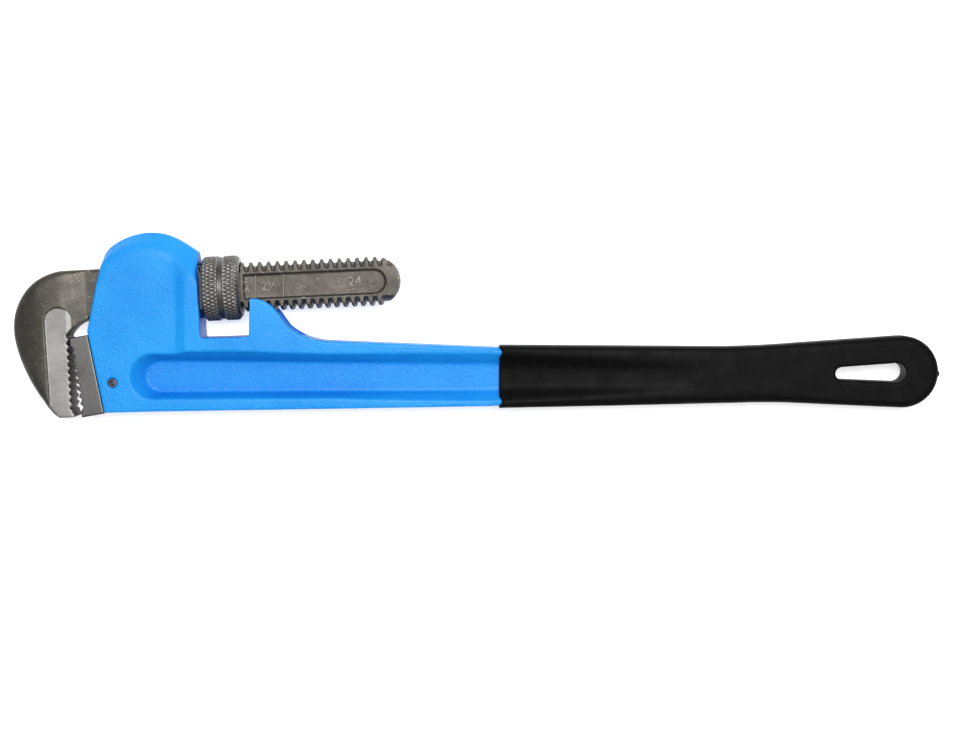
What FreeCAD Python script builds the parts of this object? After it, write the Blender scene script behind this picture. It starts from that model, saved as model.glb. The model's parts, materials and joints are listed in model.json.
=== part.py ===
import FreeCAD, Part
import math
import os

# Pipe wrench, sizes in mm. Built lying on its side: X runs along the handle to the hang hole,
# Y runs up from the handle to the housing's dome, Z comes out of the side face. The jaw's own
# directions u (along the shank, towards its tail) and v (across it) lean by jaw_tilt.

V = FreeCAD.Vector

# --- hook jaw and thread
shank_r = 16.0            # radius of the thread's crest, and half the shank's height
shank_t = 18.5            # thickness between the shank's flat sides
shank_tail = 99.0         # from the nut's middle to the centre of the shank's round end
pitch = 5.75              # thread pitch, one start
thread_depth = 2.8
crest_w = 2.0             # width of a crest
flank_lean = 0.28         # widening of a ridge per mm of depth, each flank
thread_from = -6 * pitch  # first ridge, along u from the nut's middle
jaw_t = 27.0              # thickness of the hook and of the heel jaw
jaw_tilt = 2.61           # lean of the shank against the handle, degrees
shank_edge = 3.0          # rounding along the plain part of the shank
panel_deep = 1.3          # depth of the recess in the shank's flat side
panel_draft = 0.7         # lean of its wall, mm per mm of depth
tooth_pitch = 4.62
tooth_count = 11
tooth_depth = 2.0

# --- nut
nut_r = 21.0
nut_len = 24.0
nut_play = 2.3            # nut to the housing's rear face
fit_gap = 0.3             # thread play, each way

# --- frame
side_gap = 0.6            # shank's flat side to the channel's wall
side_wall = 4.15          # housing wall beside the channel
pad = 3.0                 # how far the housing stands out beside the nut
roof_gap = 0.4            # shank's edge to the channel's roof or floor
rock = 3.5                # how far the jaw rocks, degrees
rock_at = -48.0           # rocking centre, along u from the nut's middle
dome_r = 42.5
web_half = 5.0            # half the web's thickness
reach = 300.0             # from the nut window to the far end of the grip, less the loop
loop_r = 23.2             # half the width of the loop round the hang hole
coat = 1.3                # thickness of the dipped grip
trough_end = 172.0        # where the handle's side trough has faded out

# --- heel jaw, pin and springs
pin_r = 3.0
pin_bore_r = 1.9
pin_at = (-241.8, -4.4)
tang_t = 16.0
tang_gap = 0.2
leaf_t = 1.0
leaf_w = 12.0
coil_r = 4.6              # mean radius of the coil spring
coil_wire = 0.8           # radius of its wire

half = shank_t / 2 + side_gap + side_wall
nut_mid = V(-171.6, 56.5, 0)
lean = FreeCAD.Rotation(V(0, 0, 1), jaw_tilt)
JAW = FreeCAD.Placement(nut_mid, lean)
root_r = shank_r - thread_depth
tail_x = reach - 31.5     # centre of the loop's round end
loop_y = 2.4


def outline(items, z=0.0):
    """Closed wire through plain points, (via, end) arcs, and [point, ...] curves that leave
    the edge before them smoothly."""
    start = V(items[0][0], items[0][1], z)
    here = start
    edges = []
    for item in items[1:]:
        if isinstance(item, list):
            curve = Part.BSplineCurve()
            knots = [here] + [V(x, y, z) for x, y in item]
            end = knots[-1]
            leave = edges[-1].tangentAt(edges[-1].LastParameter)
            curve.interpolate(Points=knots, Tangents=[leave] * len(knots),
                              TangentFlags=[True] + [False] * (len(knots) - 1))
            edges.append(curve.toShape())
        elif isinstance(item[0], tuple):
            via = V(item[0][0], item[0][1], z)
            end = V(item[1][0], item[1][1], z)
            edges.append(Part.Arc(here, via, end).toShape())
        else:
            end = V(item[0], item[1], z)
            edges.append(Part.makeLine(here, end))
        here = end
    if (here - start).Length > 1e-6:
        edges.append(Part.makeLine(here, start))
    return Part.Wire(edges)


def prism(items, z0, z1):
    return Part.Face(outline(items, z0)).extrude(V(0, 0, z1 - z0))


def slab(items, half_t):
    return prism(items, -half_t, half_t)


def plan(items, y0, y1):
    """Solid seen from above: points are (x, half thickness), mirrored in Z."""
    pts = [V(x, y0, h) for x, h in items]
    pts += [V(x, y0, -h) for x, h in reversed(items)]
    face = Part.Face(Part.makePolygon(pts + [pts[0]]))
    return face.extrude(V(0, y1 - y0, 0))


def rounded(shape, radius, wanted):
    edges = [e for e in shape.Edges if wanted(e, e.BoundBox.Center)]
    return shape.makeFillet(radius, edges)


def tube(x, y, r, z0, z1):
    return Part.makeCylinder(r, z1 - z0, V(x, y, z0))


def in_jaw(x, y):
    """Jaw directions (u, v) to frame directions (X, Y)."""
    p = JAW.multVec(V(x, y, 0))
    return p.x, p.y


def place(shape):
    shape.Placement = JAW.multiply(shape.Placement)
    return shape


# ---------------------------------------------------------------- frame

front = [(-247.3, -23.8), (-257.8, 28.9)]     # the face that the heel jaw seats on


def head():
    """Housing: flat sides whose domed top is bevelled back to a narrow crown."""
    rear = -nut_len / 2 - nut_play
    crown = half + pad - 11.7
    rear_low = in_jaw(rear, -30.9)
    foot = [rear_low, (-180.0, -22.2)]
    rim = [(-246.9, 79.0), (-239.6, 85.9), (-229.2, 90.6), (-217.2, 50.0 + dome_r),
           (-204.9, 90.4), (-195.2, 85.4), in_jaw(rear, 24.0)]
    brow = [(-245.4, 71.8), (-236.6, 77.0), (-225.2, 80.2), (-213.0, 79.4),
            (-202.6, 75.0), (-195.0, 69.5), in_jaw(rear, 9.5)]
    low = [front[0], front[1], (-249.2, 71.0), rim] + foot
    high = [front[0], front[1], (-250.6, 66.0), brow] + foot
    cap = Part.makeLoft([outline(low, crown), outline(high, half + pad)], True, True)
    body = slab(low, crown).fuse([cap, cap.mirror(V(0, 0, 0), V(0, 0, 1))])
    sides = [(-262, half), (-200.8, half), (-194.5, half + pad), (-170, half + pad)]
    above = body.common(plan(sides, 0, 110))
    return above.fuse(body.common(plan([(-262, half), (-170, half)], -60, 0)))


def beam_side():
    """Side view of the handle with the horn, up to the hang loop."""
    return [
        (-215.0, -23.0),
        (-215.0, 25.3),
        (-153.4, 25.6),
        (-152.8, 50.2),
        ((-143.5, 48.3), (-135.8, 42.0)),
        (-128.6, 32.2),
        ((-118.2, 25.9), (-100.0, 22.4)),
        (4.0, 18.3),
        (4.0, -19.6),
    ]


def grip_side(inset):
    """Side view of the grip, or of the handle inside it."""
    x0 = 7.0 if inset == 0 else -2.0
    end = tail_x + loop_r - inset
    return [
        (x0, 19.6 - inset),
        (tail_x - 118.0, 18.7 - inset),
        ((tail_x - 91.0, 19.5 - inset), (tail_x - 66.0, 21.2 - inset)),
        (tail_x - 2.0, loop_y + loop_r + 0.1 - inset),
        ((end, loop_y), (tail_x - 1.0, loop_y - loop_r + inset)),
        (tail_x - 64.0, -18.0 + inset),
        ((tail_x - 85.0, -17.5 + inset), (tail_x - 106.0, -17.8 + inset)),
        (x0, -21.0 + inset),
    ]


def pocket(side, inset=0.0):
    """Drafted trough in the handle's side, with a round end, fading out under the grip."""
    lo = web_half + inset
    hi = 17.5
    k = inset * 0.8
    floor = [(10.0, 7.2 - k), (-101.0, 8.4 - k), (-211.2, 9.4 - k),
             ((-221.2 + k, -0.7), (-211.2, -10.8 + k)), (-101.0, -10.1 + k), (10.0, -9.6 + k)]
    mouth = [(10.0, 21.0 - k), (-101.0, 16.8 - k), (-218.0, 16.4 - k),
             ((-234.7 + k, -0.2), (-218.0, -16.8 + k)), (-101.0, -16.1 + k), (10.0, -22.2 + k)]
    near = Part.makeLoft([outline(floor, lo), outline(mouth, hi)], True, True)
    ends = []
    for x, depth_z, top, low, top_m, low_m in (
            (10.0, lo, 7.2 - k, -9.6 + k, 21.0 - k, -22.2 + k),
            (trough_end, 12.0 + inset, 6.6 - k, -8.4 + k, 13.0 - k, -15.0 + k)):
        pts = [V(x, low, depth_z), V(x, top, depth_z), V(x, top_m, hi), V(x, low_m, hi)]
        ends.append(Part.makePolygon(pts + [pts[0]]))
    tool = near.fuse(Part.makeLoft(ends, True, True))
    if side < 0:
        tool = tool.mirror(V(0, 0, 0), V(0, 0, 1))
    return tool


def hang_slot(grow):
    """Tapered slot through the loop."""
    xa, ra = tail_x - 39.6, 4.2 + grow
    xb, rb = tail_x - 4.2, 6.2 + grow
    ya, yb = 1.4, 2.0
    tilt = math.asin((rb - ra) / (xb - xa))
    s, c = math.sin(tilt), math.cos(tilt)
    items = [
        (xa - ra * s, ya + ra * c),
        (xb - rb * s, yb + rb * c),
        ((xb + rb, yb), (xb - rb * s, yb - rb * c)),
        (xa - ra * s, ya - ra * c),
        ((xa - ra, ya), (xa - ra * s, ya + ra * c)),
    ]
    return slab(items, 30)


def channel():
    """Passage for the shank, with room to rock, cut through the housing."""
    s = math.tan(math.radians(rock))
    u0, u1 = -100.0, -nut_len / 2 - nut_play + 3
    top, low = shank_r + roof_gap, -shank_r - roof_gap
    items = [
        (u0, low),
        (rock_at, low),
        (u1, low - (u1 - rock_at) * s),
        (u1, top),
        (rock_at, top),
        (u0, top + (rock_at - u0) * s),
    ]
    return place(slab(items, shank_t / 2 + side_gap))


def leaf_recess():
    box = Part.makeBox(58, 8, leaf_w + 1.6, V(rock_at - 30, shank_r - 3.2, -leaf_w / 2 - 0.8))
    return place(box)


def coil_pocket():
    hole = Part.makeCylinder(coil_r + coil_wire + 0.6, 16, V(-30.0, -29.0, 0), V(0, 1, 0))
    return place(hole)


def frame():
    tops = [(-262, half), (-200.8, half), (-194.5, half + pad), (-158, half + pad),
            (-128, half + 0.8), (-100, half), (0, 11.8), (tail_x + 40, 9.6)]
    lows = [(-262, half), (-100, half), (0, 11.8), (tail_x + 40, 9.6)]
    beam = slab(beam_side(), 30)
    beam = beam.common(plan(tops, 0, 60)).fuse(beam.common(plan(lows, -60, 0)))
    core = slab(grip_side(coat), 30).common(plan(lows, -60, 60))
    core = rounded(core, 3.0, lambda e, c: abs(c.z) > 8 and c.x > 0 and e.Length > 12)
    body = head().fuse(beam)
    body = body.removeSplitter()
    body = body.fuse(core)
    groove = slab([(-156.0, 25.6), (-156.0, 60.0), (-90.0, 60.0), (-90.0, 25.6)],
                  shank_t / 2 + side_gap)
    window = nut_window()
    cuts = [pocket(1), pocket(-1), channel(), leaf_recess(), coil_pocket(), groove, window,
            hang_slot(coat), heel_slot(), tube(pin_at[0], pin_at[1], pin_r, -30, 30)]
    for cut in cuts:
        body = body.cut(cut)
    return body


def nut_window():
    rear = -nut_len / 2 - nut_play
    a = in_jaw(rear, 60)
    b = in_jaw(rear, -31.3)
    return slab([a, b, (-153.4, 25.6), (-152.8, 51.0), (-152.8, 110.0)], 30)


def heel_slot():
    items = [(-262.0, -18.0), (-262.0, 14.0), (-237.0, 9.0), (-232.0, 0.0), (-232.0, -13.0)]
    return slab(items, tang_t / 2 + tang_gap)


# ---------------------------------------------------------------- heel jaw and pin

def heel_teeth(first, last, count, depth):
    """Leaning saw teeth down a line: tips on the line, gullets behind it."""
    dx = (last[0] - first[0]) / (count - 1)
    dy = (last[1] - first[1]) / (count - 1)
    size = math.hypot(dx, dy)
    nx, ny = -dy / size, dx / size
    pts = []
    for i in range(count):
        x, y = first[0] + dx * i, first[1] + dy * i
        pts.append((x, y))
        if i < count - 1:
            pts.append((x + dx * 0.38 + nx * depth, y + dy * 0.38 + ny * depth))
    return pts


def heel_jaw():
    gap = 0.05
    face_up = V(front[1][0] - front[0][0], front[1][1] - front[0][1], 0)
    out = V(-face_up.y, face_up.x, 0)
    out.normalize()
    back = []
    for t in (-0.01, 0.955):
        p = V(front[0][0], front[0][1], 0) + face_up * t + out * gap
        back.append((p.x, p.y))
    teeth = heel_teeth((-268.7, 18.9), (-262.1, -22.8), 10, tooth_depth)
    items = [back[0], back[1], (-269.2, 24.4)] + teeth + [(-261.6, -26.9)]
    block = slab(items, jaw_t / 2)
    block = block.makeChamfer(0.5, [e for e in block.Edges
                                    if abs(abs(e.BoundBox.Center.z) - jaw_t / 2) < 0.01
                                    and e.Length > 10])
    tang = slab([(-252.0, -15.8), (-257.0, 12.4), (-237.4, 8.6), (-232.4, -0.1), (-232.4, -12.6)],
                tang_t / 2)
    jaw = block.fuse(tang)
    return jaw.cut(tube(pin_at[0], pin_at[1], pin_r, -30, 30))


def heel_pin():
    long = half - 0.4
    pin = tube(pin_at[0], pin_at[1], pin_r, -long, long)
    pin = pin.makeChamfer(0.5, [e for e in pin.Edges if abs(e.BoundBox.Center.z) > long - 1
                                and e.BoundBox.DiagonalLength > pin_r])
    pin = pin.cut(tube(pin_at[0], pin_at[1], pin_bore_r, -30, 30))
    slit = Part.makeBox(pin_r * 2, 0.7, 4 * half, V(pin_at[0], pin_at[1] - 0.35, -2 * half))
    return pin.cut(slit)


# ---------------------------------------------------------------- hook jaw

TO_U = FreeCAD.Placement(V(0, 0, 0), FreeCAD.Rotation(V(0, 0, 1), V(1, 0, 0)))


def ridge(angle, r_low, r_high, play, sweep):
    """A length of thread ridge along a helix round the u axis, centred on an angle from Z."""
    rise = pitch * sweep / 360.0
    helix = Part.Wire(Part.makeHelix(pitch, rise, root_r).Edges)
    a = ridge_width(r_low) / 2 + play
    b = ridge_width(r_high) / 2 + play
    pts = [V(r_low, 0, -a), V(r_high, 0, -b), V(r_high, 0, b), V(r_low, 0, a)]
    solid = helix.makePipeShell([Part.makePolygon(pts + [pts[0]])], True, True)
    solid.translate(V(0, 0, -rise / 2))
    solid.rotate(V(0, 0, 0), V(0, 0, 1), angle - sweep / 2)
    solid.translate(V(0, 0, pitch * angle / 360.0))
    solid.Placement = TO_U.multiply(solid.Placement)
    return solid


def ridge_width(r):
    """Width of the shank's ridge at a radius."""
    return crest_w + 2 * flank_lean * (shank_r - r)


def shank():
    start = thread_from - pitch / 2
    count = int((shank_tail + 8 - thread_from) / pitch) + 1
    plain = Part.makeBox(start + 95, 2 * shank_r, shank_t, V(-95, -shank_r, -shank_t / 2))
    plain = rounded(plain, shank_edge, lambda e, c: e.Length > start + 94)
    core = Part.makeCylinder(root_r, shank_tail + shank_r - start, V(start, 0, 0), V(1, 0, 0))
    flats = slab([(-300, -30), (300, -30), (300, 30), (-300, 30)], shank_t / 2)
    ridges = []
    for angle in (90, -90):
        one = ridge(angle, root_r - 0.4, shank_r, 0.0, 90).common(flats)
        for i in range(count):
            copy = one.copy()
            copy.translate(V(thread_from + i * pitch, 0, 0))
            ridges.append(copy)
    rod = plain.fuse(core).common(flats).fuse(ridges)
    side = [
        (-95, -30),
        (shank_tail, -30),
        (shank_tail, -shank_r),
        ((shank_tail + shank_r, 0), (shank_tail, shank_r)),
        (shank_tail, 30),
        (-95, 30),
    ]
    rod = rod.common(slab(side, shank_t))
    face = shank_t / 2
    bottom = outline(panel_side(panel_draft * panel_deep), face - panel_deep)
    mouth = outline(panel_side(-panel_draft * 0.1), face + 0.1)
    panel = Part.makeLoft([bottom, mouth], True, True)
    return rod.cut([panel, panel.mirror(V(0, 0, 0), V(0, 0, 1))])


def panel_side(inset):
    """Outline of the recess in the shank's flat side, drawn in by the draft of its wall."""
    r = 8.2 - inset
    end = shank_tail - 0.8
    return [(14.0 + inset, r), (end, r), ((end + r, 0.0), (end, -r)), (14.0 + inset, -r)]


def hook_side():
    """Side view of the hook: round back, long front with teeth, throat up to the shank."""
    tip_u = -99.5
    pts = []
    for i in range(tooth_count):
        v = -28.4 - i * tooth_pitch
        pts.append((tip_u, v))
        if i < tooth_count - 1:
            pts.append((tip_u - tooth_depth, v - tooth_pitch * 0.62))
    last = pts[-1][1]
    return [
        (-84.0, shank_r),
        (-102.0, shank_r),
        [(-109.4, 14.8), (-117.3, 11.6), (-125.2, 5.7), (-131.0, -1.8), (-135.2, -12.0),
         (-136.2, -23.0), (-133.0, -39.0), (-126.4, -55.0), (-112.6, -75.8)],
        (-108.4, -78.8),
        (-98.6, -78.8),
        ((-98.5, -78.0), (-100.2, last - 0.9)),
    ] + pts[::-1] + [
        (-101.4, -26.6),
        ((-97.3, -21.5), (-90.4, -17.6)),
        (-87.0, -shank_r),
    ]


def hook():
    blank = slab(hook_side(), jaw_t / 2)
    back = [e for e in blank.Edges if abs(abs(e.BoundBox.Center.z) - jaw_t / 2) < 0.01
            and (e.BoundBox.Center.x < -105 and e.Length > 50 or e.BoundBox.Center.y > 10)]
    blank = blank.makeFillet(4.0, back)
    neck = plan([(-150, jaw_t / 2), (-103, jaw_t / 2), (-88, shank_t / 2), (-80, shank_t / 2)],
                -90, 30)
    blank = blank.common(neck)
    flat = [
        (-114.0, -90.0),
        (-114.8, -16.4),
        ((-106.0, -7.6), (-97.2, -16.4)),
        (-97.2, -90.0),
    ]
    for z0 in (jaw_t / 2 - 0.8, -jaw_t / 2 - 0.2):
        blank = blank.cut(prism(flat, z0, z0 + 1.0))
    return blank


def hook_jaw():
    jaw = hook().fuse(shank())
    return place(jaw)


# ---------------------------------------------------------------- nut and springs

def adjusting_nut():
    """Ring nut with a smooth groove between two knurled bands and an internal thread."""
    h = nut_len / 2
    band = [
        (-h, 0), (-h, nut_r - 1.6), (-h + 1.6, nut_r), (-2.2, nut_r), (-1.6, nut_r - 0.7),
        (1.4, nut_r - 0.7), (2.0, nut_r), (h - 2.2, nut_r), (h, nut_r - 2.6), (h, 0),
    ]
    wire = Part.makePolygon([V(x, y, 0) for x, y in band] + [V(band[0][0], band[0][1], 0)])
    body = Part.Face(wire).revolve(V(0, 0, 0), V(1, 0, 0), 360)
    bore_r = root_r + fit_gap
    body = body.cut(Part.makeCylinder(bore_r, nut_len + 2, V(-h - 1, 0, 0), V(1, 0, 0)))
    for angle in (-720, 0, 720):
        body = body.cut(ridge(angle, bore_r - 0.6, shank_r + fit_gap, fit_gap, 720))
    for x0, r1, r2 in ((-h, shank_r + 0.6, bore_r), (h - 2, bore_r, shank_r + 0.6)):
        cone = Part.makeCone(r1, r2, 2.0, V(x0, 0, 0), V(1, 0, 0))
        body = body.cut(cone)
    return place(body)


def flat_spring():
    """Leaf between the shank's top edge and the recess in the housing's roof."""
    lo = shank_r + fit_gap
    a, b, m = rock_at - 27.5, rock_at + 26.0, rock_at
    items = [
        (a, lo),
        ((m, lo + 1.2), (b, lo)),
        (b, lo + leaf_t),
        ((m, lo + 1.2 + leaf_t), (a, lo + leaf_t)),
    ]
    return place(slab(items, leaf_w / 2))


def coil_spring():
    """Coil in the pocket under the shank, squared off at its ends by flat rings."""
    low, high = -28.9, -shank_r - 0.35
    rise = high - low - 2 * coil_wire
    turn_pitch = 2.6
    helix = Part.Wire(Part.makeHelix(turn_pitch, rise, coil_r).Edges)
    start = V(coil_r, 0, 0)
    ring = Part.Wire(Part.makeCircle(coil_wire, start, V(0, 1, 0)))
    coil = helix.makePipeShell([ring], True, True)
    coil.Placement = FreeCAD.Placement(V(-30.0, low + coil_wire, 0),
                                       FreeCAD.Rotation(V(0, 0, 1), V(0, 1, 0)))
    return place(coil)


# ---------------------------------------------------------------- grip

def grip():
    """Dipped sleeve over the handle, with the handle's trough showing through it."""
    lows = [(-10, 11.9 + coat), (0, 11.8 + coat), (tail_x + 40, 9.6 + coat)]
    outer = slab(grip_side(0), 30).common(plan(lows, -60, 60))
    outer = rounded(outer, 4.0, lambda e, c: abs(c.z) > 8 and c.x > 0 and e.Length > 12)
    drip = Part.makeCone(5.0, 1.2, 4.2, V(tail_x + loop_r - 1.6, 0.9, 0), V(1, 0, 0))
    outer = outer.fuse(drip)
    for cut in (pocket(1, coat), pocket(-1, coat), hang_slot(0)):
        outer = outer.cut(cut)
    return outer


def main():
    os.makedirs("parts", exist_ok=True)
    body = frame()
    parts = {
        "frame_handle": body,
        "hook_jaw": hook_jaw(),
        "adjusting_nut": adjusting_nut(),
        "heel_jaw": heel_jaw(),
        "heel_jaw_pin": heel_pin(),
        "flat_spring": flat_spring(),
        "coil_spring": coil_spring(),
        "grip": grip().cut(body),
    }
    box = FreeCAD.BoundBox()
    for shape in parts.values():
        box.add(shape.optimalBoundingBox(False, False))
    shift = V(-box.Center.x, -box.Center.y, -box.ZMin)
    for name, shape in parts.items():
        shape.translate(shift)
        shape.exportStep("parts/" + name + ".step")


main()
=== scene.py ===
import json
import math

import bpy
import bmesh
from mathutils import Matrix, Vector


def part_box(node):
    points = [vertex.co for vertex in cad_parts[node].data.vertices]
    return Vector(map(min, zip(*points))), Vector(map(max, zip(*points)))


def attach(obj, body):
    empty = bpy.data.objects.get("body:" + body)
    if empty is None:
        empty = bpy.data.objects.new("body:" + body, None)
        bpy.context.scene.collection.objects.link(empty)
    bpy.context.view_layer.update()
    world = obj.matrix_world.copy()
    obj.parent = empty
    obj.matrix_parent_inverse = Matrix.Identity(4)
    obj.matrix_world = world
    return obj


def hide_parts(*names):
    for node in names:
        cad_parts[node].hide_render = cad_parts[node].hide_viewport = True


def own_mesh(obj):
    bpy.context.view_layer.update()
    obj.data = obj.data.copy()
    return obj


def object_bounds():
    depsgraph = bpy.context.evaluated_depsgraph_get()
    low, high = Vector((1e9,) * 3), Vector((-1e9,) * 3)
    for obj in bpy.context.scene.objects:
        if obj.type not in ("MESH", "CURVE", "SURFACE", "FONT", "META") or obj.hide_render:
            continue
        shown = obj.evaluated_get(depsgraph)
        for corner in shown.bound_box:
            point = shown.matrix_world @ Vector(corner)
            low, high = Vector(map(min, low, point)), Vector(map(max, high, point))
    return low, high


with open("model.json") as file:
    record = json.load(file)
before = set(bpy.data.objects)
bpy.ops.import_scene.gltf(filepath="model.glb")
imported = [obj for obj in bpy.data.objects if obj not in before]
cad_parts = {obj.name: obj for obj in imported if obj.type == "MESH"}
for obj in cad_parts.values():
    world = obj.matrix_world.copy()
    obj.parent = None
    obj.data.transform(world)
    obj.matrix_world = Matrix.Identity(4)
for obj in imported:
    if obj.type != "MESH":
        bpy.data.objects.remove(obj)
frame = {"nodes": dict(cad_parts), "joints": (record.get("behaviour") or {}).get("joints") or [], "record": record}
cad_low, cad_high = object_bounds()

# Metres, in the CAD's frame: X along the handle, Y up to the dome, Z out of the side face.
MM = 0.001
nodes = frame["nodes"]
joints = {j["name"]: j for j in frame["joints"]}
nut_low, nut_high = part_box("adjusting_nut")
MID_Z = (nut_low.z + nut_high.z) / 2
NUT = Vector(joints["nut_spin"]["pos_m"])          # middle of the nut, on the shank's axis
U = Vector(joints["nut_spin"]["axis"]).normalized()  # along the shank, towards its tail
W = Vector((0, 0, 1))
VV = W.cross(U)                                    # across the shank, up
TO_JAW = Matrix((
    (U.x, VV.x, W.x, NUT.x),
    (U.y, VV.y, W.y, NUT.y),
    (U.z, VV.z, W.z, MID_Z),
    (0, 0, 0, 1),
))
FROM_JAW = TO_JAW.inverted()
NUT_R = (nut_high.z - nut_low.z) / 2
NUT_LEN = 24 * MM
PITCH = 2 * math.pi / abs(frame["record"]["behaviour"]["couplings"][0]["ratio"])
SHANK_T = 18.5 * MM
PANEL_DEEP = 1.3 * MM
PANEL = SHANK_T / 2 - PANEL_DEEP                   # half thickness of the shank at its side panel

# The strip milled behind the hook's teeth, on both side faces. u and v are measured from the
# nut's middle, along and across the shank; depth is measured from the middle of the tool.
STRIP_U = -106.0 * MM
STRIP_TOP_V = -16.4 * MM           # where the strip's round top begins
STRIP_LOW_V = -78.4 * MM
STRIP_HALF = 8.8 * MM
STRIP_FACE = (12.0 * MM, 13.0 * MM)   # depths that belong to the milled face
FAR = 100.0 * MM                   # past the end of anything masked

# Where edges are rounder: the housing's dome, the hook's back, and the grip without its mouth and
# loop. Each pair runs from no extra rounding to full.
DOME_X = (-165 * MM, -185 * MM)
DOME_Y = (25 * MM, 36 * MM)
DOME_Z = (10.5 * MM, 13.5 * MM)
HOOK_BACK_U = (-116.2 * MM, -118.5 * MM)
HOOK_TOP_V = (-6.5 * MM, -4.0 * MM)
HOOK_NECK_U = (-86.0 * MM, -94.0 * MM)
CROWN_U = (-115.8 * MM, -142.0 * MM)
CROWN_THIN = 0.42                  # share of the thickness lost at the hook's back
GRIP_LOOP_X = (222 * MM, 190 * MM)
GRIP_MOUTH_X = (12.5 * MM, 18.0 * MM)
HANDLE_Y = -33.5 * MM
GRIP_EDGE_Y = (18.5 * MM, 16.5 * MM)


# ---------------------------------------------------------------- node helpers

class Nodes:
    """A material's node tree with short calls for the nodes used here."""

    def __init__(self, name):
        self.mat = bpy.data.materials.new(name)
        self.mat.use_nodes = True
        self.tree = self.mat.node_tree
        self.shader = self.tree.nodes["Principled BSDF"]

    def node(self, kind, **values):
        n = self.tree.nodes.new(kind)
        for key, value in values.items():
            setattr(n, key, value)
        return n

    def link(self, a, b):
        self.tree.links.new(a, b)

    def coords(self):
        return self.node("ShaderNodeTexCoord").outputs["Object"]

    def mapped(self, scale, turn):
        m = self.node("ShaderNodeMapping")
        m.inputs["Scale"].default_value = scale
        m.inputs["Rotation"].default_value = turn
        self.link(self.coords(), m.inputs["Vector"])
        return m.outputs["Vector"]

    def noise(self, scale, detail=3.0, rough=0.55, vector=None):
        n = self.node("ShaderNodeTexNoise")
        n.inputs["Scale"].default_value = scale
        n.inputs["Detail"].default_value = detail
        n.inputs["Roughness"].default_value = rough
        self.link(vector or self.coords(), n.inputs["Vector"])
        return n.outputs["Fac"]

    def cells(self, scale):
        n = self.node("ShaderNodeTexVoronoi")
        n.inputs["Scale"].default_value = scale
        self.link(self.coords(), n.inputs["Vector"])
        return n.outputs["Distance"]

    def ramp(self, fac, stops):
        n = self.node("ShaderNodeValToRGB")
        e = n.color_ramp.elements
        while len(e) < len(stops):
            e.new(0.5)
        for item, (pos, col) in zip(e, stops):
            item.position = pos
            item.color = (*col, 1) if isinstance(col, tuple) else (col, col, col, 1)
        self.link(fac, n.inputs["Fac"])
        return n.outputs["Color"]

    def math(self, op, a, b=None):
        n = self.node("ShaderNodeMath", operation=op)
        for i, value in enumerate((a, b)):
            if value is None:
                continue
            if isinstance(value, (int, float)):
                n.inputs[i].default_value = value
            else:
                self.link(value, n.inputs[i])
        return n.outputs[0]

    def between(self, value, low, high, soft):
        """1 where low < value < high, falling off over soft on each side."""
        out = []
        for a, b in ((low - soft, low + soft), (high + soft, high - soft)):
            n = self.node("ShaderNodeMapRange")
            n.inputs["From Min"].default_value = a
            n.inputs["From Max"].default_value = b
            self.link(value, n.inputs["Value"])
            out.append(n.outputs["Result"])
        return self.math("MULTIPLY", out[0], out[1])

    def mix(self, fac, a, b):
        n = self.node("ShaderNodeMix", data_type="RGBA")
        self.link(fac, n.inputs["Factor"])
        for socket, value in ((n.inputs[6], a), (n.inputs[7], b)):
            if isinstance(value, tuple):
                socket.default_value = (*value, 1)
            else:
                self.link(value, socket)
        return n.outputs[2]

    def bump(self, height, distance, strength=1.0, after=None):
        n = self.node("ShaderNodeBump")
        n.inputs["Strength"].default_value = strength
        n.inputs["Distance"].default_value = distance
        self.link(height, n.inputs["Height"])
        if after is not None:
            self.link(after, n.inputs["Normal"])
        return n.outputs["Normal"]

    def finish(self, color, rough, normal=None, **constants):
        s = self.shader
        self.link(color, s.inputs["Base Color"])
        if isinstance(rough, float):
            s.inputs["Roughness"].default_value = rough
        else:
            self.link(rough, s.inputs["Roughness"])
        if normal is not None:
            self.link(normal, s.inputs["Normal"])
        for key, value in constants.items():
            s.inputs[key.replace("_", " ")].default_value = value
        return self.mat


# ---------------------------------------------------------------- materials

def blue_enamel():
    """Gloss enamel sprayed over a sand casting: fine grain, orange peel, slight colour drift, and painted shade in
    the hollows.
    """
    n = Nodes("blue_enamel")
    drift = n.noise(28, 2)
    grain = n.noise(900, 4, 0.65)
    cells = n.cells(620)
    base = n.ramp(drift, [(0.3, (0.004, 0.275, 0.80)), (0.7, (0.010, 0.335, 0.89))])
    spots = n.ramp(grain, [(0.35, 0.0), (0.75, 1.0)])
    color = n.mix(n.math("MULTIPLY", spots, 0.22), base, (0.03, 0.45, 1.0))
    shade_occlusion = n.node("ShaderNodeAmbientOcclusion", samples=8)     # painted shade: the blue darkens in hollows, read from ambient occlusion
    shade_occlusion.inputs["Distance"].default_value = 0.028
    # painted shade: a deeper blue mixed in where the hollows are occluded
    painted_shade = n.ramp(shade_occlusion.outputs["AO"], [(0.42, 1.0), (0.96, 0.0)])
    color = n.mix(painted_shade, color, (0.001, 0.125, 0.62))
    normal = n.bump(grain, 0.0004, 0.75)
    normal = n.bump(cells, 0.0005, 0.5, normal)
    normal = n.bump(n.noise(150, 3), 0.0009, 0.35, normal)
    rough = n.ramp(n.noise(60, 3), [(0.3, 0.36), (0.7, 0.5)])
    return n.finish(color, rough, normal, Coat_Weight=0.08, Coat_Roughness=0.25,
                    Specular_IOR_Level=0.24)


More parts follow.
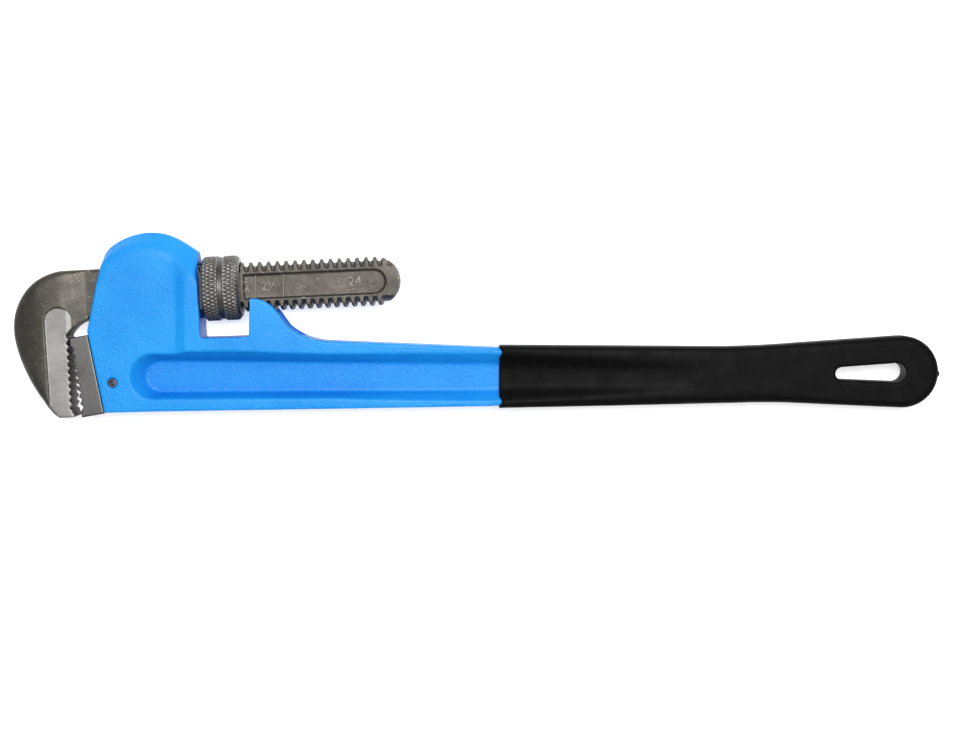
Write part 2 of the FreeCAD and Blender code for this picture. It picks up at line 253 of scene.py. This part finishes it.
def forged_steel():
    """Dark forging scale with bright specks and worn edges, milled bright beside the teeth."""
    n = Nodes("forged_steel")
    tint = (0.088, 0.080, 0.070)
    scale = n.noise(140, 5, 0.65)
    fine = n.noise(1500, 3, 0.6)
    dark = n.ramp(scale, [(0.3, tuple(c * 0.85 for c in tint)), (0.5, tint),
                          (0.75, tuple(c * 1.22 for c in tint))])
    speck = n.ramp(n.noise(750, 2, 0.5), [(0.62, 0.0), (0.70, 1.0)])
    dark = n.mix(n.math("MULTIPLY", speck, 0.28), dark, (0.40, 0.36, 0.31))
    wear = n.node("ShaderNodeNewGeometry").outputs["Pointiness"]
    edge = n.ramp(wear, [(0.515, 0.0), (0.56, 1.0)])
    dark = n.mix(n.math("MULTIPLY", edge, 0.45), dark, (0.46, 0.43, 0.38))
    worn = n.noise(45, 4, 0.7)
    mask = hook_flat(n)
    height = n.math("MULTIPLY", scale, n.math("SUBTRACT", 1.0, mask))
    normal = n.bump(height, 0.0004, 0.5)
    normal = n.bump(fine, 0.0001, 0.5, normal)
    rough = n.ramp(worn, [(0.3, 0.44), (0.7, 0.6)])
    lines = n.noise(160, 4, 0.6, n.mapped((1, 34, 1), (0, 0, -0.046)))
    steel = n.ramp(lines, [(0.25, (0.24, 0.236, 0.228)), (0.75, (0.42, 0.415, 0.40))])
    blotch = n.ramp(n.noise(38, 3), [(0.35, 0.72), (0.65, 1.0)])
    shade = n.node("ShaderNodeMix", data_type="RGBA", blend_type="MULTIPLY")
    shade.inputs["Factor"].default_value = 1.0
    n.link(steel, shade.inputs[6])
    n.link(blotch, shade.inputs[7])
    color = n.mix(mask, dark, shade.outputs[2])
    rough = n.mix(mask, rough, (0.5, 0.5, 0.5))
    return n.finish(color, rough, normal, Metallic=0.85)


def hook_flat(n):
    """Mask of the milled strip behind the hook's teeth, on both side faces."""
    split = n.node("ShaderNodeSeparateXYZ")
    place = n.node("ShaderNodeMapping", vector_type="TEXTURE")
    place.inputs["Location"].default_value = (NUT.x, NUT.y, MID_Z)
    place.inputs["Rotation"].default_value = (0, 0, math.atan2(U.y, U.x))
    n.link(n.coords(), place.inputs["Vector"])
    n.link(place.outputs["Vector"], split.inputs["Vector"])
    u, v, w = split.outputs
    depth = n.math("ABSOLUTE", w)
    across = n.math("SUBTRACT", u, STRIP_U)
    above = n.math("MAXIMUM", n.math("SUBTRACT", v, STRIP_TOP_V), 0.0)
    reach = n.math("SQRT", n.math("ADD", n.math("POWER", n.math("ABSOLUTE", across), 2.0),
                                  n.math("POWER", above, 2.0)))
    cutter = n.between(reach, -FAR, STRIP_HALF, 0.12 * MM)
    face = n.between(depth, *STRIP_FACE, 0.15 * MM)
    inside = n.between(v, STRIP_LOW_V, FAR, 0.1 * MM)
    return n.math("MULTIPLY", n.math("MULTIPLY", cutter, face), inside)


def ground_steel():
    """Surface-ground heel jaw: fine lines along its length, soft stains."""
    n = Nodes("ground_steel")
    turn = (0, 0, math.radians(-10))
    lines = n.noise(140, 5, 0.6, n.mapped((30, 1, 1), turn))
    stain = n.noise(55, 4, 0.65)
    base = n.ramp(lines, [(0.25, (0.11, 0.107, 0.103)), (0.75, (0.175, 0.17, 0.163))])
    color = n.mix(n.ramp(stain, [(0.5, 0.0), (0.85, 0.55)]), base, (0.11, 0.10, 0.09))
    rough = n.ramp(stain, [(0.3, 0.3), (0.8, 0.46)])
    return n.finish(color, rough, n.bump(lines, 0.00008, 0.4), Metallic=1.0)


def black_oxide():
    """Blackened machined steel of the nut, worn brighter in places, with painted highlight on the knurl's tips and
    painted shade in its grooves.
    """
    n = Nodes("black_oxide")
    wear = n.noise(120, 4, 0.7)
    color = n.ramp(wear, [(0.3, (0.075, 0.073, 0.065)), (0.6, (0.13, 0.127, 0.115)),
                          (0.8, (0.2, 0.195, 0.18))])
    point = n.node("ShaderNodeNewGeometry").outputs["Pointiness"]
    # painted highlight: the knurl's sharp tips are lightened, found by pointiness
    color = n.mix(n.ramp(point, [(0.50, 0.0), (0.58, 0.9)]), color, (0.62, 0.60, 0.56))
    # painted shade: the grooves of the knurl and thread are darkened, found by low pointiness
    color = n.mix(n.ramp(point, [(0.40, 0.85), (0.49, 0.0)]), color, (0.012, 0.012, 0.011))
    rough = n.ramp(n.noise(300, 2), [(0.3, 0.36), (0.7, 0.5)])
    return n.finish(color, rough, n.bump(n.noise(1300, 2), 0.00006, 0.5), Metallic=0.85)


def spring_steel():
    """Bright drawn steel of the springs and the rolled pin."""
    n = Nodes("spring_steel")
    stain = n.noise(260, 3)
    color = n.ramp(stain, [(0.3, (0.10, 0.10, 0.10)), (0.7, (0.22, 0.215, 0.21))])
    return n.finish(color, n.ramp(stain, [(0.3, 0.28), (0.7, 0.42)]),
                    n.bump(stain, 0.00005, 0.4), Metallic=0.9)


def dipped_vinyl():
    """Black dipped vinyl: satin skin with soft sags, fine grain and a few pinholes."""
    n = Nodes("dipped_vinyl")
    soft = n.noise(34, 2)
    grain = n.noise(1100, 3, 0.6)
    tone = n.noise(240, 4, 0.65)
    color = n.ramp(tone, [(0.35, (0.0024, 0.0024, 0.0025)), (0.7, (0.0044, 0.0043, 0.0043))])
    pits = n.ramp(n.cells(75), [(0.0, 0.0), (0.055, 1.0)])
    normal = n.bump(soft, 0.0012, 0.35)
    normal = n.bump(grain, 0.00008, 0.5, normal)
    normal = n.bump(pits, 0.0003, 0.4, normal)
    rough = n.ramp(n.noise(90, 3), [(0.3, 0.46), (0.7, 0.6)])
    return n.finish(color, rough, normal, Specular_IOR_Level=0.07)


def white_floor():
    """Pale floor that glows a little, so that it reads as white."""
    n = Nodes("white_floor")
    color = n.ramp(n.noise(6, 2), [(0.0, (0.86, 0.86, 0.86)), (1.0, (0.88, 0.88, 0.88))])
    return n.finish(color, 0.9, Emission_Color=(1, 1, 1, 1), Emission_Strength=0.62)


# ---------------------------------------------------------------- pieces

def link(name, mesh):
    obj = bpy.data.objects.new(name, mesh)
    bpy.context.scene.collection.objects.link(obj)
    return obj


def softened(node, name, voxel, passes, triangles, soft=None, more=0):
    """A copy of a CAD node, remeshed evenly and relaxed so that its edges are rounded, with
    flat areas thinned out. soft(point) says from 0 to 1 how much more a point is relaxed."""
    obj = link(name, nodes[node].data.copy())
    obj.data.materials.clear()
    remesh = obj.modifiers.new("remesh", "REMESH")
    remesh.mode = "VOXEL"
    remesh.voxel_size = voxel
    relax(obj, passes)
    bake(obj)
    if soft:
        group = obj.vertex_groups.new(name="soft")
        for vert in obj.data.vertices:
            weight = soft(vert.co)
            if weight > 0:
                group.add([vert.index], min(1.0, weight), "REPLACE")
        relax(obj, more, "soft")
        bake(obj)
    thin = obj.modifiers.new("thin", "DECIMATE")
    thin.ratio = min(1.0, triangles / (2 * len(obj.data.polygons)))
    bake(obj)
    obj.data.shade_smooth()
    return obj


def relax(obj, passes, group=""):
    mod = obj.modifiers.new("relax", "SMOOTH")
    mod.iterations = passes
    mod.factor = 0.5
    mod.vertex_group = group


def bake(obj):
    """Replaces the object's mesh with its result after modifiers."""
    dg = bpy.context.evaluated_depsgraph_get()
    mesh = bpy.data.meshes.new_from_object(obj.evaluated_get(dg))
    obj.modifiers.clear()
    obj.data = mesh


def fade(value, start, end):
    """0 at start to 1 at end, smoothly."""
    t = min(1.0, max(0.0, (value - start) / (end - start)))
    return t * t * (3 - 2 * t)


def dome_softness(p):
    """The bevel round the housing's dome is rounder than the rest of the casting."""
    return fade(p.x, *DOME_X) * fade(p.y, *DOME_Y) * fade(abs(p.z - MID_Z), *DOME_Z)


def hook_softness(p):
    """The hook's back is crowned; the teeth and the milled strip beside them stay crisp."""
    u, v, w = FROM_JAW @ p
    off_strip = max(fade(u, *HOOK_BACK_U), fade(v, *HOOK_TOP_V))
    return off_strip * fade(u, *HOOK_NECK_U)


def crown(obj):
    """The hook thins towards its back, so that its sides fall away."""
    for vert in obj.data.vertices:
        u, v, w = FROM_JAW @ vert.co
        thin = CROWN_THIN * fade(u, *CROWN_U)
        vert.co.z = MID_Z + w * (1 - thin)
    return obj


def sleeve_softness(p):
    """The dipped skin rounds off the handle's trough, but not the loop's slot."""
    along = fade(p.x, *GRIP_LOOP_X) * fade(p.x, *GRIP_MOUTH_X)
    return along * fade(abs(p.y - HANDLE_Y), *GRIP_EDGE_Y)


def put(obj, material, body, node):
    """Gives a piece its material, the body it rides on and the node it stands for."""
    obj.data.materials.clear()
    obj.data.materials.append(material)
    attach(obj, body)
    if node:
        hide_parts(node)
    return obj


def knurled_nut():
    """Ring nut: two diamond-knurled bands, smooth groove between, thread inside."""
    around = 576                       # points round the nut
    outer_steps, inner_steps = 90, 56
    diamonds = 48
    lead = 5.4 * MM                    # length of one diamond along the nut
    h = NUT_LEN / 2
    bevel_l, bevel_r, bevel_r_deep = 1.6 * MM, 2.2 * MM, 2.6 * MM
    groove_a, groove_b, groove_deep = -2.2 * MM, 2.0 * MM, 0.7 * MM
    groove_wall = 0.6 * MM
    plain = 0.2 * MM                   # unknurled land beside the groove
    deep = 0.62 * MM
    ridge, slope = 0.94 * MM, 0.79 * MM   # half width of a thread ridge's top, and its flank
    mouth = 2.0 * MM                   # depth of the countersink at the bore's ends
    bore = 13.5 * MM
    crest = 16.3 * MM

    def skin(x):
        if x < -h + bevel_l:
            return NUT_R - bevel_l * (1 - (x + h) / bevel_l)
        if x > h - bevel_r:
            return NUT_R - bevel_r_deep * (1 - (h - x) / bevel_r)
        if groove_a < x < groove_b:
            edge = min(x - groove_a, groove_b - x) / groove_wall
            return NUT_R - groove_deep * min(1.0, edge)
        return NUT_R

    def knurl(x, a):
        if groove_a - plain < x < groove_b + plain:
            return 0.0
        cut = []
        for way in (1, -1):
            t = (a * diamonds / (2 * math.pi) + way * x / lead) % 1.0
            cut.append(abs(2 * t - 1))
        ease = 1.0
        if x > h - bevel_r:
            ease = max(0.0, (h - x) / bevel_r)
        if x < -h + bevel_l:
            ease = max(0.0, (x + h) / bevel_l)
        return deep * ease * (1 - min(1.0, 1.5 * min(cut)))

    def thread(x, a):
        t = (x / PITCH - a / (2 * math.pi)) % 1.0
        side = abs(2 * t - 1) * PITCH / 2       # distance from the middle of a nut ridge
        rise = min(1.0, max(0.0, (ridge + slope - side) / slope))
        flare = max(0.0, mouth - (h - abs(x)))
        return max(crest - (crest - bore) * rise, bore + flare * 1.5)

    outer = [-h + NUT_LEN * i / outer_steps for i in range(outer_steps + 1)]
    inner = [h - NUT_LEN * i / inner_steps for i in range(inner_steps + 1)]
    bm = bmesh.new()
    rings = []
    for side, xs in (("out", outer), ("in", inner)):
        for x in xs:
            ring = []
            for k in range(around):
                a = 2 * math.pi * k / around
                r = skin(x) - knurl(x, a) if side == "out" else thread(x, a)
                turned = a + math.pi / 2
                p = Vector((x, r * math.sin(turned), r * math.cos(turned)))
                ring.append(bm.verts.new(TO_JAW @ p))
            rings.append(ring)
    for i, ring in enumerate(rings):
        after = rings[(i + 1) % len(rings)]
        for k in range(around):
            m = (k + 1) % around
            bm.faces.new((ring[k], ring[m], after[m], after[k]))
    bmesh.ops.recalc_face_normals(bm, faces=bm.faces)
    mesh = bpy.data.meshes.new("knurled_nut")
    bm.to_mesh(mesh)
    bm.free()
    mesh.shade_smooth()
    return link("knurled_nut", mesh)


def scale_mark(name, outline_of, u, v):
    """A raised mark on both of the shank's panels, joined into one piece; outline_of makes it."""
    made = []
    for side in (1, -1):
        obj = outline_of(f"{name}_{side}")
        turn = Matrix.Rotation(0 if side > 0 else math.pi, 4, "X")
        obj.matrix_world = TO_JAW @ Matrix.Translation((u, v * side, PANEL * side)) @ turn
        bpy.context.view_layer.update()
        made.append(obj)
    bm = bmesh.new()
    dg = bpy.context.evaluated_depsgraph_get()
    for obj in made:
        mesh = bpy.data.meshes.new_from_object(obj.evaluated_get(dg))
        mesh.transform(obj.matrix_world)
        bm.from_mesh(mesh)
        bpy.data.objects.remove(obj)
    mesh = bpy.data.meshes.new(name)
    bm.to_mesh(mesh)
    bm.free()
    return link(name, mesh)


def numeral(text, size):
    """Maker of one raised numeral, centred on its middle."""
    def make(name):
        curve = bpy.data.curves.new(name, "FONT")
        curve.body = text
        curve.size = size
        curve.align_x = "CENTER"
        curve.align_y = "CENTER"
        curve.extrude = 0.65 * MM
        curve.bevel_depth = 0.15 * MM
        curve.bevel_resolution = 2
        curve.offset = 0.12 * MM
        return link(name, curve)
    return make


def bar(height):
    """Maker of one raised scale line, leaning a little."""
    lean = 0.3 * MM

    def make(name):
        curve = bpy.data.curves.new(name, "CURVE")
        curve.dimensions = "3D"
        line = curve.splines.new("POLY")
        line.points.add(1)
        line.points[0].co = (lean, height / 2, 0, 1)
        line.points[1].co = (-lean, -height / 2, 0, 1)
        curve.bevel_depth = 0.55 * MM
        curve.bevel_resolution = 3
        curve.use_fill_caps = True
        return link(name, curve)
    return make


blue = blue_enamel()
forged = forged_steel()
steel = ground_steel()
oxide = black_oxide()
spring = spring_steel()
vinyl = dipped_vinyl()

put(softened("frame_handle", "cast_frame", 0.8 * MM, 4, 150000, dome_softness, 150), blue,
    "handle", "frame_handle")
put(softened("grip", "dipped_grip", 0.8 * MM, 8, 80000, sleeve_softness, 90), vinyl, "handle",
    "grip")
hook = crown(softened("hook_jaw", "forged_hook", 0.45 * MM, 3, 170000, hook_softness, 200))
put(hook, forged, "jaw", "hook_jaw")
put(softened("heel_jaw", "ground_heel_jaw", 0.35 * MM, 2, 60000), steel, "handle", "heel_jaw")
put(knurled_nut(), oxide, "nut", "adjusting_nut")
LINE = 14.4 * MM                   # height of a scale line
marks = (                          # name, maker, and millimetres along and across the shank
    ("mark_2", numeral("2", 9.5 * MM), 16.0, 0.0),
    ("mark_line_a", bar(LINE), 22.0, 0.0),
    ("mark_2_half", numeral("2\u00bd", 8.5 * MM), 31.0, -0.3),
    ("mark_line_b", bar(LINE), 39.9, 0.0),
    ("mark_24", numeral("24", 9.0 * MM), 86.0, 0.2),
)
for name, make, u, v in marks:
    put(scale_mark(name, make, u * MM, v * MM), forged, "jaw", None)
for name in ("heel_jaw_pin", "flat_spring"):
    nodes[name].data.materials.clear()
    nodes[name].data.materials.append(spring)
coil = put(link("coil_wire", nodes["coil_spring"].data.copy()), spring, "handle", "coil_spring")
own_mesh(coil)

# ---------------------------------------------------------------- floor, light, camera

floor_mesh = bpy.data.meshes.new("floor")
edge = 6.0                         # half the floor's width
floor_mesh.from_pydata([(-edge, -edge, 0), (edge, -edge, 0), (edge, edge, 0), (-edge, edge, 0)],
                       [], [(0, 1, 2, 3)])
floor = link("floor", floor_mesh)
floor.location.z = -0.4 * MM       # just clear of the tool's lowest face
floor.data.materials.append(white_floor())

SKY_LIGHT = 0.33
SKY_SEEN = 1.0
world = bpy.data.worlds.new("studio")
bpy.context.scene.world = world
world.use_nodes = True
sky = world.node_tree.nodes["Background"]
sky.inputs["Color"].default_value = (1, 1, 1, 1)
ray = world.node_tree.nodes.new("ShaderNodeLightPath")
level = world.node_tree.nodes.new("ShaderNodeMapRange")    # dim as a light, white as a backdrop
level.inputs["To Min"].default_value = SKY_LIGHT
level.inputs["To Max"].default_value = SKY_SEEN
world.node_tree.links.new(ray.outputs["Is Camera Ray"], level.inputs["Value"])
world.node_tree.links.new(level.outputs["Result"], sky.inputs["Strength"])


def lamp(name, place, size, power):
    """A rectangular soft light, aimed at the origin."""
    data = bpy.data.lights.new(name, "AREA")
    data.shape = "RECTANGLE"
    data.size, data.size_y = size
    data.energy = power
    obj = bpy.data.objects.new(name, data)
    bpy.context.scene.collection.objects.link(obj)
    obj.location = place
    obj.rotation_mode = "QUATERNION"
    obj.rotation_quaternion = (-Vector(place)).to_track_quat("-Z", "Y")


lamp("key", place=(0.1, 0.36, 1.9), size=(0.9, 0.5), power=31)
lamp("top", place=(0.2, 1.3, 1.0), size=(1.6, 0.5), power=2)

bpy.context.scene.view_settings.view_transform = "Standard"

EYE_UP = 1.320                     # camera above the tool's middle plane
EYE_ACROSS = 0.0735                # and off the aimed point, towards the dome
AIM_X = 6.2 * MM                   # aimed point, from the middle of the CAD's box
AIM_Y = -32.7 * MM
camera = bpy.data.cameras.new("camera")
camera.lens = 75.0
camera.sensor_width = 36.0
eye = bpy.data.objects.new("camera", camera)
bpy.context.scene.collection.objects.link(eye)
aim = Vector(((cad_low.x + cad_high.x) / 2 + AIM_X, AIM_Y, MID_Z))
eye.location = aim + Vector((0, EYE_ACROSS, EYE_UP))
eye.rotation_euler = (-math.atan2(EYE_ACROSS, EYE_UP), 0, 0)
bpy.context.scene.camera = eye
